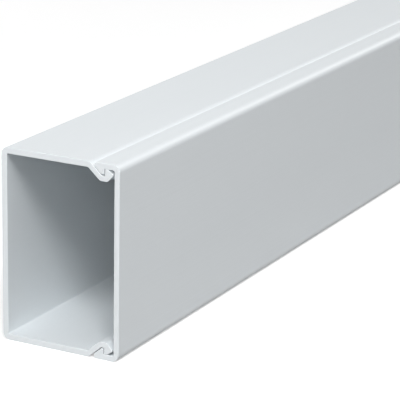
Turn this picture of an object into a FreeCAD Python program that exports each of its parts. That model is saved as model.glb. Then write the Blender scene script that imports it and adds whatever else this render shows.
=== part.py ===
# Cable trunking in rigid PVC: a wall channel with snap lips and a clip-on cover, cut to one sold length.
# The length runs along X. The back, which goes against the wall, faces +Y, and the cover faces -Y.
# It stands on one long side: Z is 0 on the floor, and the origin is below the middle of the piece.
import FreeCAD
import Part
import math
import os

# Overall sizes, in millimetres
length = 2000.0
width = 90.0
depth = 60.0

# Walls and corners
base_wall = 2.9
cover_wall = 2.6
flange_wall = 2.6
back_outer_radius = 3.2
back_inner_radius = 0.6
cover_outer_radius = 3.6
cover_inner_radius = 0.8

# Snap lip along the free edge of each side wall of the base
lip_reach = 8.2
lip_slope = 42.0
lip_wall = 2.55
lip_floor = 2.6
lip_bend_radius = 1.5
lip_curl_radius = 1.8
catch_setback = 7.4
crown_land = 1.4
crown_radius = 0.6
nose_drop = 1.9
nose_land = 0.7
nose_slope = 48.0

# Flange and hooked tooth along each edge of the cover
flange_edge = 2.0
flange_round = 0.8
tooth_width = 1.3
edge_radius = 0.3

# Room between the cover and the base
catch_clearance = 0.35
slope_clearance = 0.3
tip_clearance = 0.5
nose_clearance = 0.7

# Fixing slots through the back wall, on its centre line
slot_width = 6.5
slot_length = 15.0
slot_pitch = 250.0

# Places that the lip and the tooth share: distances from the back, and depths in from the outer side
slope = math.radians(lip_slope)
groove_depth = lip_reach - lip_floor
tooth_depth = groove_depth - tip_clearance
catch_face = depth - catch_setback
tooth_front = catch_face - catch_clearance
tooth_back = tooth_front - tooth_width
tooth_slope_foot = tooth_back - tooth_depth / math.tan(slope)
lip_slope_foot = tooth_slope_foot - slope_clearance / math.sin(slope)


def rounded_face(corners):
    """A face across the length from (y, z, radius) corners, each rounded by a tangent arc."""
    rounds = []
    for index, (y, z, radius) in enumerate(corners):
        corner = FreeCAD.Vector(0, y, z)
        back = FreeCAD.Vector(0, *corners[index - 1][:2]) - corner
        ahead = FreeCAD.Vector(0, *corners[(index + 1) % len(corners)][:2]) - corner
        half_angle = back.getAngle(ahead) / 2
        back.normalize()
        ahead.normalize()
        inward = (back + ahead).normalize()
        setback = radius / math.tan(half_angle)
        middle = corner + inward * (radius / math.sin(half_angle) - radius)
        rounds.append((corner + back * setback, middle, corner + ahead * setback))
    edges = []
    for index, (start, middle, end) in enumerate(rounds):
        next_start = rounds[(index + 1) % len(rounds)][0]
        edges.append(Part.Arc(start, middle, end).toShape())
        edges.append(Part.LineSegment(end, next_start).toShape())
    return Part.Face(Part.Wire(edges))


def both_sides(half_outline):
    """Corners of a whole section from one side's (from_back, from_side, radius) corners."""
    upper = [(depth / 2 - back, width - side, radius) for back, side, radius in half_outline]
    lower = [(depth / 2 - back, side, radius) for back, side, radius in half_outline]
    return upper + lower[::-1]


def along_length(section):
    """The solid that a section makes over the whole length."""
    section.translate(FreeCAD.Vector(-length / 2, 0, 0))
    return section.extrude(FreeCAD.Vector(length, 0, 0))


def base_section():
    """Back wall, side walls and the two lips, each with its bend, groove, catch face, crown and nose."""
    inner_slope_foot = lip_slope_foot - lip_wall / math.sin(slope)
    nose = depth - cover_wall - nose_clearance
    nose_start = flange_wall + nose_drop
    nose_end = nose_start + nose_land
    nose_foot = nose - (lip_reach - nose_end) / math.tan(math.radians(nose_slope))
    return both_sides([
        (0, 0, back_outer_radius),
        (lip_slope_foot, 0, lip_bend_radius + lip_wall),
        (lip_slope_foot + groove_depth / math.tan(slope), groove_depth, edge_radius),
        (catch_face, groove_depth, edge_radius),
        (catch_face, flange_wall, crown_radius),
        (catch_face + crown_land, flange_wall, crown_radius),
        (nose, nose_start, edge_radius),
        (nose, nose_end, edge_radius),
        (nose_foot, lip_reach, lip_curl_radius),
        (inner_slope_foot + lip_reach / math.tan(slope), lip_reach, lip_curl_radius),
        (inner_slope_foot + base_wall / math.tan(slope), base_wall, lip_bend_radius),
        (base_wall, base_wall, back_inner_radius),
    ])


def fixing_slot(x):
    """A cutter for one slot with round ends, lying along the length."""
    radius = slot_width / 2
    half_run = (slot_length - slot_width) / 2
    start = FreeCAD.Vector(x - half_run, depth / 2 - base_wall, width / 2)
    end = FreeCAD.Vector(x + half_run, depth / 2 - base_wall, width / 2)
    up = FreeCAD.Vector(0, 0, radius)
    out = FreeCAD.Vector(radius, 0, 0)
    outline = Part.Wire([
        Part.LineSegment(start + up, end + up).toShape(),
        Part.Arc(end + up, end + out, end - up).toShape(),
        Part.LineSegment(end - up, start - up).toShape(),
        Part.Arc(start - up, start - out, start + up).toShape(),
    ])
    return Part.Face(outline).extrude(FreeCAD.Vector(0, base_wall, 0))


def base_channel():
    """The extruded base with a row of slots, centred on its length."""
    solid = along_length(rounded_face(base_section()))
    slot_count = int(length // slot_pitch)
    first_slot = -slot_pitch * (slot_count - 1) / 2
    for index in range(slot_count):
        solid = solid.cut(fixing_slot(first_slot + index * slot_pitch))
    return solid


def clip_on_cover():
    """The extruded cover: a face, flanges flush with the side walls, and teeth behind the catch faces."""
    flange_end = tooth_slope_foot + flange_edge / math.tan(slope)
    return along_length(rounded_face(both_sides([
        (depth, 0, cover_outer_radius),
        (flange_end, 0, flange_round),
        (flange_end, flange_edge, edge_radius),
        (tooth_back, tooth_depth, edge_radius),
        (tooth_front, tooth_depth, edge_radius),
        (tooth_front, flange_wall, edge_radius),
        (depth - cover_wall, flange_wall, cover_inner_radius),
    ])))


os.makedirs("parts", exist_ok=True)
base_channel().exportStep("parts/base_channel.step")
clip_on_cover().exportStep("parts/clip_on_cover.step")
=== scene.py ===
import bpy
import bmesh
import math
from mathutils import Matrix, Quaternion, Vector


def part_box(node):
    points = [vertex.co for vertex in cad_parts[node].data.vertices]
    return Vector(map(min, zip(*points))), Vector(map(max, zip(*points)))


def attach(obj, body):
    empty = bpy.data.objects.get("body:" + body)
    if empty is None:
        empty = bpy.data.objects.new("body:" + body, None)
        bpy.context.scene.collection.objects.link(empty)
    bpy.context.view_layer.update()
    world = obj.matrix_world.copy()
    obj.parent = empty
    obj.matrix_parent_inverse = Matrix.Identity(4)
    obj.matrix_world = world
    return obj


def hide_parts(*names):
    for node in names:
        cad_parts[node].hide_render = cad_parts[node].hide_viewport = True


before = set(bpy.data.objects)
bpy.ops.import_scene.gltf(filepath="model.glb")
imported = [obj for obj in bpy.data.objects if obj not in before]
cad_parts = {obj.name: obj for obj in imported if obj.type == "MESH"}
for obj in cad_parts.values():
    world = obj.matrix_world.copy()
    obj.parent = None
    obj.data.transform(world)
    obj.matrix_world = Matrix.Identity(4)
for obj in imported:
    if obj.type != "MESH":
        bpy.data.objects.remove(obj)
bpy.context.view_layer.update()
scene = bpy.context.scene
scene.view_settings.view_transform = "Standard"
mm = 0.001
touching = 0.01 * mm  # counts as lying on a plane
welding = 0.001 * mm  # counts as the same place
sideways = 0.1  # largest y in the normal of a face that turns neither to the back nor to the cover

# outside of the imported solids: length along x, back at +y, cover at -y, standing on z = 0
baseLow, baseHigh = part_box("base_channel")
coverLow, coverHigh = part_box("clip_on_cover")
leftEnd, rightEnd = baseLow.x, baseHigh.x
backFace, coverFace = baseHigh.y, coverLow.y
underside, upperSide = baseLow.z, baseHigh.z
depth = backFace - coverFace
midDepth = (backFace + coverFace) / 2
midHeight = (underside + upperSide) / 2
print("frame loaded:", round(rightEnd - leftEnd, 3), "m of trunking")


# material helpers

def newFinish(name):
    mat = bpy.data.materials.new(name)
    mat.use_nodes = True
    return mat, mat.node_tree.nodes, mat.node_tree.links


def stretchedNoise(nodes, links, coords, stretch, detail):
    # noise per metre along x, y and z, so a low x draws it out along the length
    mapping = nodes.new("ShaderNodeMapping")
    mapping.inputs["Scale"].default_value = stretch
    links.new(coords.outputs["Object"], mapping.inputs["Vector"])
    noise = nodes.new("ShaderNodeTexNoise")
    noise.inputs["Scale"].default_value = 1.0
    noise.inputs["Detail"].default_value = detail
    links.new(mapping.outputs["Vector"], noise.inputs["Vector"])
    return noise.outputs["Fac"]


noiseLow, noiseHigh = 0.3, 0.7  # most of a noise lies between these


def spread(nodes, links, noise, low, high):
    ranged = nodes.new("ShaderNodeMapRange")
    ranged.inputs["From Min"].default_value = noiseLow
    ranged.inputs["From Max"].default_value = noiseHigh
    ranged.inputs["To Min"].default_value = low
    ranged.inputs["To Max"].default_value = high
    links.new(noise, ranged.inputs["Value"])
    return ranged.outputs["Result"]


def twoTone(nodes, links, factor, toneLow, toneHigh):
    mix = nodes.new("ShaderNodeMix")
    mix.data_type = "RGBA"
    mix.inputs["A"].default_value = (*toneLow, 1)
    mix.inputs["B"].default_value = (*toneHigh, 1)
    links.new(factor, mix.inputs["Factor"])
    return mix.outputs["Result"]


def addBump(nodes, links, height, distance, below=None):
    bump = nodes.new("ShaderNodeBump")
    bump.inputs["Strength"].default_value = 1.0
    bump.inputs["Distance"].default_value = distance
    links.new(height, bump.inputs["Height"])
    if below:
        links.new(below, bump.inputs["Normal"])
    return bump.outputs["Normal"]


# extruded rigid pvc: cool white satin, die lines drawn out along the length, a fine grain
pvc = {
    "toneLow": (0.772, 0.812, 0.836), "toneHigh": (0.786, 0.826, 0.849), "ior": 1.54,
    "cloud": (2.5, 16, 16), "cloudDetail": 2.0,
    "dieLines": (1.2, 850, 850), "dieDetail": 3.0, "dieDepth": 0.06 * mm,
    "grain": (2600, 2600, 2600), "grainDetail": 2.0, "grainDepth": 0.012 * mm,
    "roughLow": 0.42, "roughHigh": 0.52,
}


def extrudedPvc():
    mat, nodes, links = newFinish("extrudedPvc")
    shader = nodes["Principled BSDF"]
    shader.inputs["IOR"].default_value = pvc["ior"]
    coords = nodes.new("ShaderNodeTexCoord")
    cloud = stretchedNoise(nodes, links, coords, pvc["cloud"], pvc["cloudDetail"])
    lines = stretchedNoise(nodes, links, coords, pvc["dieLines"], pvc["dieDetail"])
    grain = stretchedNoise(nodes, links, coords, pvc["grain"], pvc["grainDetail"])
    shade = spread(nodes, links, cloud, 0, 1)
    tone = twoTone(nodes, links, shade, pvc["toneLow"], pvc["toneHigh"])
    links.new(tone, shader.inputs["Base Color"])
    rough = spread(nodes, links, lines, pvc["roughLow"], pvc["roughHigh"])
    links.new(rough, shader.inputs["Roughness"])
    drawnOut = addBump(nodes, links, lines, pvc["dieDepth"])
    grained = addBump(nodes, links, grain, pvc["grainDepth"], drawnOut)
    links.new(grained, shader.inputs["Normal"])
    return mat


# cut ends: the same plastic, duller, with the arcs that a saw blade leaves
sawCut = {
    "toneLow": (0.757, 0.795, 0.817), "toneHigh": (0.783, 0.819, 0.839),
    "bladeCentre": (0, 0.05, -0.16), "arcScale": 700.0, "arcWobble": 2.5, "arcDetail": 2.0,
    "arcDepth": 0.02 * mm, "grain": (1400, 1400, 1400), "grainDetail": 3.0,
    "roughLow": 0.55, "roughHigh": 0.68,
}


def sawnPvc():
    mat, nodes, links = newFinish("sawnPvc")
    shader = nodes["Principled BSDF"]
    shader.inputs["IOR"].default_value = pvc["ior"]
    coords = nodes.new("ShaderNodeTexCoord")
    fromBlade = nodes.new("ShaderNodeMapping")
    fromBlade.inputs["Location"].default_value = [-c for c in sawCut["bladeCentre"]]
    links.new(coords.outputs["Object"], fromBlade.inputs["Vector"])
    rings = nodes.new("ShaderNodeTexWave")
    rings.wave_type = "RINGS"
    rings.rings_direction = "X"
    rings.inputs["Scale"].default_value = sawCut["arcScale"]
    rings.inputs["Distortion"].default_value = sawCut["arcWobble"]
    rings.inputs["Detail"].default_value = sawCut["arcDetail"]
    links.new(fromBlade.outputs["Vector"], rings.inputs["Vector"])
    arcs = rings.outputs["Fac"]
    grain = stretchedNoise(nodes, links, coords, sawCut["grain"], sawCut["grainDetail"])
    tone = twoTone(nodes, links, arcs, sawCut["toneLow"], sawCut["toneHigh"])
    links.new(tone, shader.inputs["Base Color"])
    rough = spread(nodes, links, grain, sawCut["roughLow"], sawCut["roughHigh"])
    links.new(rough, shader.inputs["Roughness"])
    links.new(addBump(nodes, links, arcs, sawCut["arcDepth"]), shader.inputs["Normal"])
    return mat


skin, cutFace = extrudedPvc(), sawnPvc()
finishes = [skin, cutFace]
print("finishes mixed")


# section helpers

def bothSides(halfSection):
    # one side's (from back, from side, radius) corners, mirrored into the whole outline
    upper = [(backFace - back, upperSide - side, radius) for back, side, radius in halfSection]
    lower = [(backFace - back, underside + side, radius) for back, side, radius in halfSection]
    return upper + lower[::-1]


def edgesOf(faces):
    return list(dict.fromkeys(e for f in faces for e in f.edges))  # each one once, in a fixed order


def vertsOf(faces):
    return list(dict.fromkeys(v for f in faces for v in f.verts))


def roundEdges(bm, edges, offset, steps):
    bmesh.ops.bevel(bm, geom=edges, offset=offset, offset_type="OFFSET", segments=steps,
                    profile=0.5, affect="EDGES", material=-1, clamp_overlap=False)


rounding = {"steps": 10, "fineSteps": 6, "fineRadius": 1 * mm}


def extrudeSection(corners):
    # sharp outline at the near end, drawn to the far end, then each long edge rounded to its radius
    bm = bmesh.new()
    verts = [bm.verts.new((leftEnd, y, z)) for y, z, radius in corners]
    outline = bm.faces.new(verts)
    grown = bmesh.ops.extrude_face_region(bm, geom=[outline])["geom"]
    farVerts = [g for g in grown if isinstance(g, bmesh.types.BMVert)]
    bmesh.ops.translate(bm, vec=(rightEnd - leftEnd, 0, 0), verts=farVerts)
    bmesh.ops.recalc_face_normals(bm, faces=bm.faces)
    rounds = []
    for vert, (y, z, radius) in zip(verts, corners):
        edge = next(e for e in vert.link_edges if abs(e.other_vert(vert).co.x - vert.co.x) > mm)
        rounds.append((edge, radius, radius * math.tan(edge.calc_face_angle() / 2)))
    for edge, radius, setback in rounds:
        steps = rounding["steps"] if radius > rounding["fineRadius"] else rounding["fineSteps"]
        roundEdges(bm, [edge], setback, steps)
    return bm


def sawEnds(bm, burr):
    # the saw leaves a fine broken edge round both ends
    for x in (leftEnd, rightEnd):
        ends = [f for f in bm.faces if all(abs(v.co.x - x) < touching for v in f.verts)]
        chamfer = bmesh.ops.inset_region(bm, faces=ends, thickness=burr, use_even_offset=True)["faces"]
        inner = set(vertsOf(ends))
        rim = [v for v in vertsOf(chamfer) if v not in inner]
        bmesh.ops.translate(bm, vec=(math.copysign(burr, -x), 0, 0), verts=rim)
        for f in ends:
            f.material_index = finishes.index(cutFace)


sharpAngle = math.radians(40)  # edges that turn further than this stay sharp


def makePiece(name, bm):
    mesh = bpy.data.meshes.new(name)
    bm.to_mesh(mesh)
    bm.free()
    for material in finishes:
        mesh.materials.append(material)
    mesh.shade_smooth()
    mesh.set_sharp_from_angle(angle=sharpAngle)
    piece = bpy.data.objects.new(name, mesh)
    scene.collection.objects.link(piece)
    flats = piece.modifiers.new("flats stay flat", "WEIGHTED_NORMAL")
    flats.keep_sharp = True
    return piece


# snap edge that the base and the cover share
snapEdge = {
    "slope": math.radians(42), "flange": 2.6 * mm, "edgeRound": 0.3 * mm,
    "catchSetback": 7.4 * mm, "grooveDepth": 5.6 * mm, "toothTip": 1.3 * mm,
    "catchGap": 0.35 * mm, "slopeGap": 0.3 * mm, "tipGap": 0.5 * mm,
}
run = 1 / math.tan(snapEdge["slope"])
catchFace = depth - snapEdge["catchSetback"]
toothDepth = snapEdge["grooveDepth"] - snapEdge["tipGap"]
toothFront = catchFace - snapEdge["catchGap"]
toothBack = toothFront - snapEdge["toothTip"]
lipFoot = toothBack - toothDepth * run - snapEdge["slopeGap"] / math.sin(snapEdge["slope"])

# base channel
channel = {
    "wall": 2.9 * mm, "backOuter": 3.2 * mm, "backInner": 0.6 * mm, "burr": 0.18 * mm,
    "lipReach": 8.2 * mm, "lipWeb": 2.55 * mm, "bend": 1.5 * mm, "curl": 1.8 * mm,
    "crown": 1.4 * mm, "crownRound": 0.6 * mm,
    "noseDrop": 1.9 * mm, "noseLand": 0.7 * mm, "noseSlope": math.radians(48),
    "slotLength": 15 * mm, "slotWidth": 6.5 * mm, "slotPitch": 250 * mm,
    "slotBorder": 4 * mm, "slotEndSteps": 12, "slotRim": 0.25 * mm, "slotRimSteps": 3,
    "slotEndShare": 0.999, "slotWeld": 0.02 * mm,  # ends just short of meeting, then welded
}


def channelSection():
    wall, edgeRound = channel["wall"], snapEdge["edgeRound"]
    groove, flange = snapEdge["grooveDepth"], snapEdge["flange"]
    innerFoot = lipFoot - channel["lipWeb"] / math.sin(snapEdge["slope"])
    nose = backFace - baseLow.y
    noseStart = flange + channel["noseDrop"]
    noseEnd = noseStart + channel["noseLand"]
    noseFoot = nose - (channel["lipReach"] - noseEnd) / math.tan(channel["noseSlope"])
    return bothSides([
        (0, 0, channel["backOuter"]),
        (lipFoot, 0, channel["bend"] + channel["lipWeb"]),
        (lipFoot + groove * run, groove, edgeRound),
        (catchFace, groove, edgeRound),
        (catchFace, flange, channel["crownRound"]),
        (catchFace + channel["crown"], flange, channel["crownRound"]),
        (nose, noseStart, edgeRound),
        (nose, noseEnd, edgeRound),
        (noseFoot, channel["lipReach"], channel["curl"]),
        (innerFoot + channel["lipReach"] * run, channel["lipReach"], channel["curl"]),
        (innerFoot + wall * run, wall, channel["bend"]),
        (wall, wall, channel["backInner"]),
    ])


def backSkins(bm, x, reach):
    # faces of the back wall, outside and inside, whose middle is within reach of x
    found = []
    for y in (backFace, backFace - channel["wall"]):
        found += [f for f in bm.faces if all(abs(v.co.y - y) < touching for v in f.verts)]
    return [f for f in found if abs(f.calc_center_bounds().x - x) < reach]


def acrossWall(edge):
    return abs(edge.verts[0].co.y - edge.verts[1].co.y) > mm


def punchSlot(bm, x):
    halfLength, halfWidth = channel["slotLength"] / 2, channel["slotWidth"] / 2
    border = channel["slotBorder"]

    # a patch on both skins of the back wall
    cuts = [((x + side * (halfLength + border), 0, 0), (1, 0, 0), rightEnd) for side in (-1, 1)]
    cuts += [((0, 0, midHeight + side * (halfWidth + border)), (0, 0, 1), mm) for side in (-1, 1)]
    for point, normal, reach in cuts:
        faces = backSkins(bm, x, reach)
        parts = faces + edgesOf(faces) + vertsOf(faces)
        bmesh.ops.bisect_plane(bm, geom=parts, plane_co=point, plane_no=normal, dist=welding)
    patches = [f for f in backSkins(bm, x, mm) if abs(f.calc_center_bounds().z - midHeight) < mm]

    # the slot inset in it, opened through the wall
    bmesh.ops.inset_region(bm, faces=patches, thickness=border, use_even_offset=True)
    holes = edgesOf(patches)
    bmesh.ops.delete(bm, geom=patches, context="FACES_ONLY")
    walls = bmesh.ops.bridge_loops(bm, edges=holes)["faces"]

    # round ends, then round rims
    corners = [e for e in edgesOf(walls) if acrossWall(e)]
    roundEdges(bm, corners, channel["slotEndShare"] * halfWidth, channel["slotEndSteps"])
    bmesh.ops.remove_doubles(bm, verts=bm.verts, dist=channel["slotWeld"])
    walls = []
    for f in bm.faces:
        middle = f.calc_center_median()
        inSlot = abs(middle.x - x) < halfLength + mm and abs(middle.z - midHeight) < halfWidth + mm
        if inSlot and abs(f.normal.y) < sideways:
            walls.append(f)
    rims = [e for e in edgesOf(walls) if not acrossWall(e)]
    roundEdges(bm, rims, channel["slotRim"], channel["slotRimSteps"])


bm = extrudeSection(channelSection())
slotCount = int((rightEnd - leftEnd) / channel["slotPitch"])
firstSlot = -channel["slotPitch"] * (slotCount - 1) / 2
for index in range(slotCount):
    punchSlot(bm, firstSlot + index * channel["slotPitch"])
bmesh.ops.remove_doubles(bm, verts=bm.verts, dist=welding)
sawEnds(bm, channel["burr"])
base = makePiece("baseChannel", bm)
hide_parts("base_channel")
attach(base, "base")
print("base channel extruded and punched,", len(base.data.polygons), "faces")

# clip-on cover
lid = {
    "wall": 2.6 * mm, "outer": 3.6 * mm, "inner": 0.8 * mm, "burr": 0.18 * mm,
    "flangeEdge": 2.0 * mm, "flangeRound": 0.8 * mm,
}


def lidSection():
    flangeEnd = backFace - coverHigh.y
    edgeRound, flange = snapEdge["edgeRound"], snapEdge["flange"]
    return bothSides([
        (depth, 0, lid["outer"]),
        (flangeEnd, 0, lid["flangeRound"]),
        (flangeEnd, lid["flangeEdge"], edgeRound),
        (toothBack, toothDepth, edgeRound),
        (toothFront, toothDepth, edgeRound),
        (toothFront, flange, edgeRound),
        (depth - lid["wall"], flange, lid["inner"]),
    ])


bm = extrudeSection(lidSection())
sawEnds(bm, lid["burr"])
cover = makePiece("clipOnCover", bm)
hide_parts("clip_on_cover")
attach(cover, "cover")
print("cover extruded,", len(cover.data.polygons), "faces")


# studio helpers

def direction(azimuth, elevation):
    # 0 is straight in front of the cover, -90 straight out of the near end
    a, e = math.radians(azimuth), math.radians(elevation)
    return Vector((math.sin(a) * math.cos(e), -math.cos(a) * math.cos(e), math.sin(e)))


def seenDirectly(nodes, links):
    # 1 for what the camera, a reflection or a clear body looks at
    path = nodes.new("ShaderNodeLightPath")
    total = path.outputs["Is Camera Ray"]
    for ray in ("Is Glossy Ray", "Is Transmission Ray"):
        larger = nodes.new("ShaderNodeMath")
        larger.operation = "MAXIMUM"
        links.new(total, larger.inputs[0])
        links.new(path.outputs[ray], larger.inputs[1])
        total = larger.outputs[0]
    return total


# paper floor, pale by the trunking where it keeps a light shadow, white further off
white = 1.0
paperFloor = {
    "size": 60.0, "seen": 0.73, "bounce": 0.30, "lift": 0.48,
    "squash": (0.3, 1, 1), "fadeStart": 0.3, "fadeEnd": 1.5,  # the fade runs on further along the length
}


def floorPaper():
    mat, nodes, links = newFinish("paper")
    nodes.remove(nodes["Principled BSDF"])
    seen = seenDirectly(nodes, links)
    tint = nodes.new("ShaderNodeMapRange")
    tint.inputs["To Min"].default_value = paperFloor["bounce"]
    tint.inputs["To Max"].default_value = paperFloor["seen"]
    links.new(seen, tint.inputs["Value"])
    matte = nodes.new("ShaderNodeBsdfDiffuse")
    links.new(tint.outputs["Result"], matte.inputs["Color"])

    # a lift towards white for what is seen directly, in full from fadeEnd on
    coords = nodes.new("ShaderNodeTexCoord")
    squashed = nodes.new("ShaderNodeMapping")
    squashed.inputs["Scale"].default_value = paperFloor["squash"]
    links.new(coords.outputs["Object"], squashed.inputs["Vector"])
    fromMiddle = nodes.new("ShaderNodeVectorMath")
    fromMiddle.operation = "LENGTH"
    links.new(squashed.outputs["Vector"], fromMiddle.inputs[0])
    fade = nodes.new("ShaderNodeMapRange")
    fade.interpolation_type = "SMOOTHSTEP"
    fade.inputs["From Min"].default_value = paperFloor["fadeStart"]
    fade.inputs["From Max"].default_value = paperFloor["fadeEnd"]
    fade.inputs["To Min"].default_value = paperFloor["lift"]
    fade.inputs["To Max"].default_value = white
    links.new(fromMiddle.outputs["Value"], fade.inputs["Value"])
    lift = nodes.new("ShaderNodeMath")
    lift.operation = "MULTIPLY"
    links.new(seen, lift.inputs[0])
    links.new(fade.outputs["Result"], lift.inputs[1])
    glow = nodes.new("ShaderNodeEmission")
    links.new(lift.outputs[0], glow.inputs["Strength"])
    both = nodes.new("ShaderNodeAddShader")
    links.new(matte.outputs[0], both.inputs[0])
    links.new(glow.outputs[0], both.inputs[1])
    links.new(both.outputs[0], nodes["Material Output"].inputs["Surface"])
    return mat


bm = bmesh.new()
bmesh.ops.create_grid(bm, x_segments=1, y_segments=1, size=paperFloor["size"] / 2)
floorMesh = bpy.data.meshes.new("paperFloor")
bm.to_mesh(floorMesh)
bm.free()
floorMesh.materials.append(floorPaper())
floor = bpy.data.objects.new("paperFloor", floorMesh)
scene.collection.objects.link(floor)

# white surroundings, with a lower level for the light that they give
surroundings = {"ambient": 0.1}
world = bpy.data.worlds.new("surroundings")
scene.world = world
world.use_nodes = True
nodes, links = world.node_tree.nodes, world.node_tree.links
level = nodes.new("ShaderNodeMapRange")
level.inputs["To Min"].default_value = surroundings["ambient"]
level.inputs["To Max"].default_value = white
links.new(seenDirectly(nodes, links), level.inputs["Value"])
nodes["Background"].inputs["Color"].default_value = (1, 1, 1, 1)
links.new(level.outputs["Result"], nodes["Background"].inputs["Strength"])

# softboxes round both ends, each from an (azimuth, elevation)
# level 1 lights a white sheet that faces the box to white
aimInset = 0.1
nearEnd, farEnd = leftEnd + aimInset, rightEnd - aimInset
softboxes = {
    "keyBox": {"lights": nearEnd, "from": (-60, 46), "distance": 1.8, "size": (0.54, 0.54), "level": 0.565},
    "endBox": {"lights": nearEnd, "from": (-82, 16), "distance": 6.0, "size": (3.6, 3.6), "level": 0.376},
    "edgeBox": {"lights": nearEnd, "from": (68, 27), "distance": 7.0, "size": (2.6, 3.6), "level": 0.148},
    "frontBox": {"lights": nearEnd, "from": (-34, 57), "distance": 5.0, "size": (2.6, 2.6), "level": 0.211},
    "backBox": {"lights": nearEnd, "from": (175, 7), "distance": 7.0, "size": (5.6, 1.6), "level": 0.420},
    "farBox": {"lights": farEnd, "from": (56, 42), "distance": 1.8, "size": (1.0, 1.0), "level": 0.380},
}
for name, box in softboxes.items():
    lamp = bpy.data.lights.new(name, "AREA")
    lamp.shape = "RECTANGLE"
    lamp.size, lamp.size_y = box["size"]
    lamp.energy = box["level"] * (math.pi * box["distance"]) ** 2
    lampObject = bpy.data.objects.new(name, lamp)
    towards = direction(*box["from"])
    lampObject.location = Vector((box["lights"], midDepth, midHeight)) + towards * box["distance"]
    lampObject.rotation_euler = towards.to_track_quat("Z", "Y").to_euler()
    lampObject.visible_camera = False
    scene.collection.objects.link(lampObject)
print("studio lit")

# camera at the photograph's angle, aimed at the cover a little in from the near end
viewpoint = {
    "from": (-62.44, 16.97), "roll": 1.09, "distance": 0.9640,
    "aimFromEnd": 0.0744, "aimHeight": 0.0554,
    "lens": 188.3, "sensor": 36.0, "clip": (0.01, 200.0),
}
aim = Vector((leftEnd + viewpoint["aimFromEnd"], coverFace, viewpoint["aimHeight"]))
away = direction(*viewpoint["from"])
photoLens = bpy.data.cameras.new("photoCamera")
photoLens.lens = viewpoint["lens"]
photoLens.sensor_width = viewpoint["sensor"]
photoLens.clip_start, photoLens.clip_end = viewpoint["clip"]
camera = bpy.data.objects.new("photoCamera", photoLens)
camera.location = aim + away * viewpoint["distance"]
turn = away.to_track_quat("Z", "Y") @ Quaternion((0, 0, 1), math.radians(viewpoint["roll"]))
camera.rotation_euler = turn.to_euler()
scene.collection.objects.link(camera)
scene.camera = camera
print("camera placed")
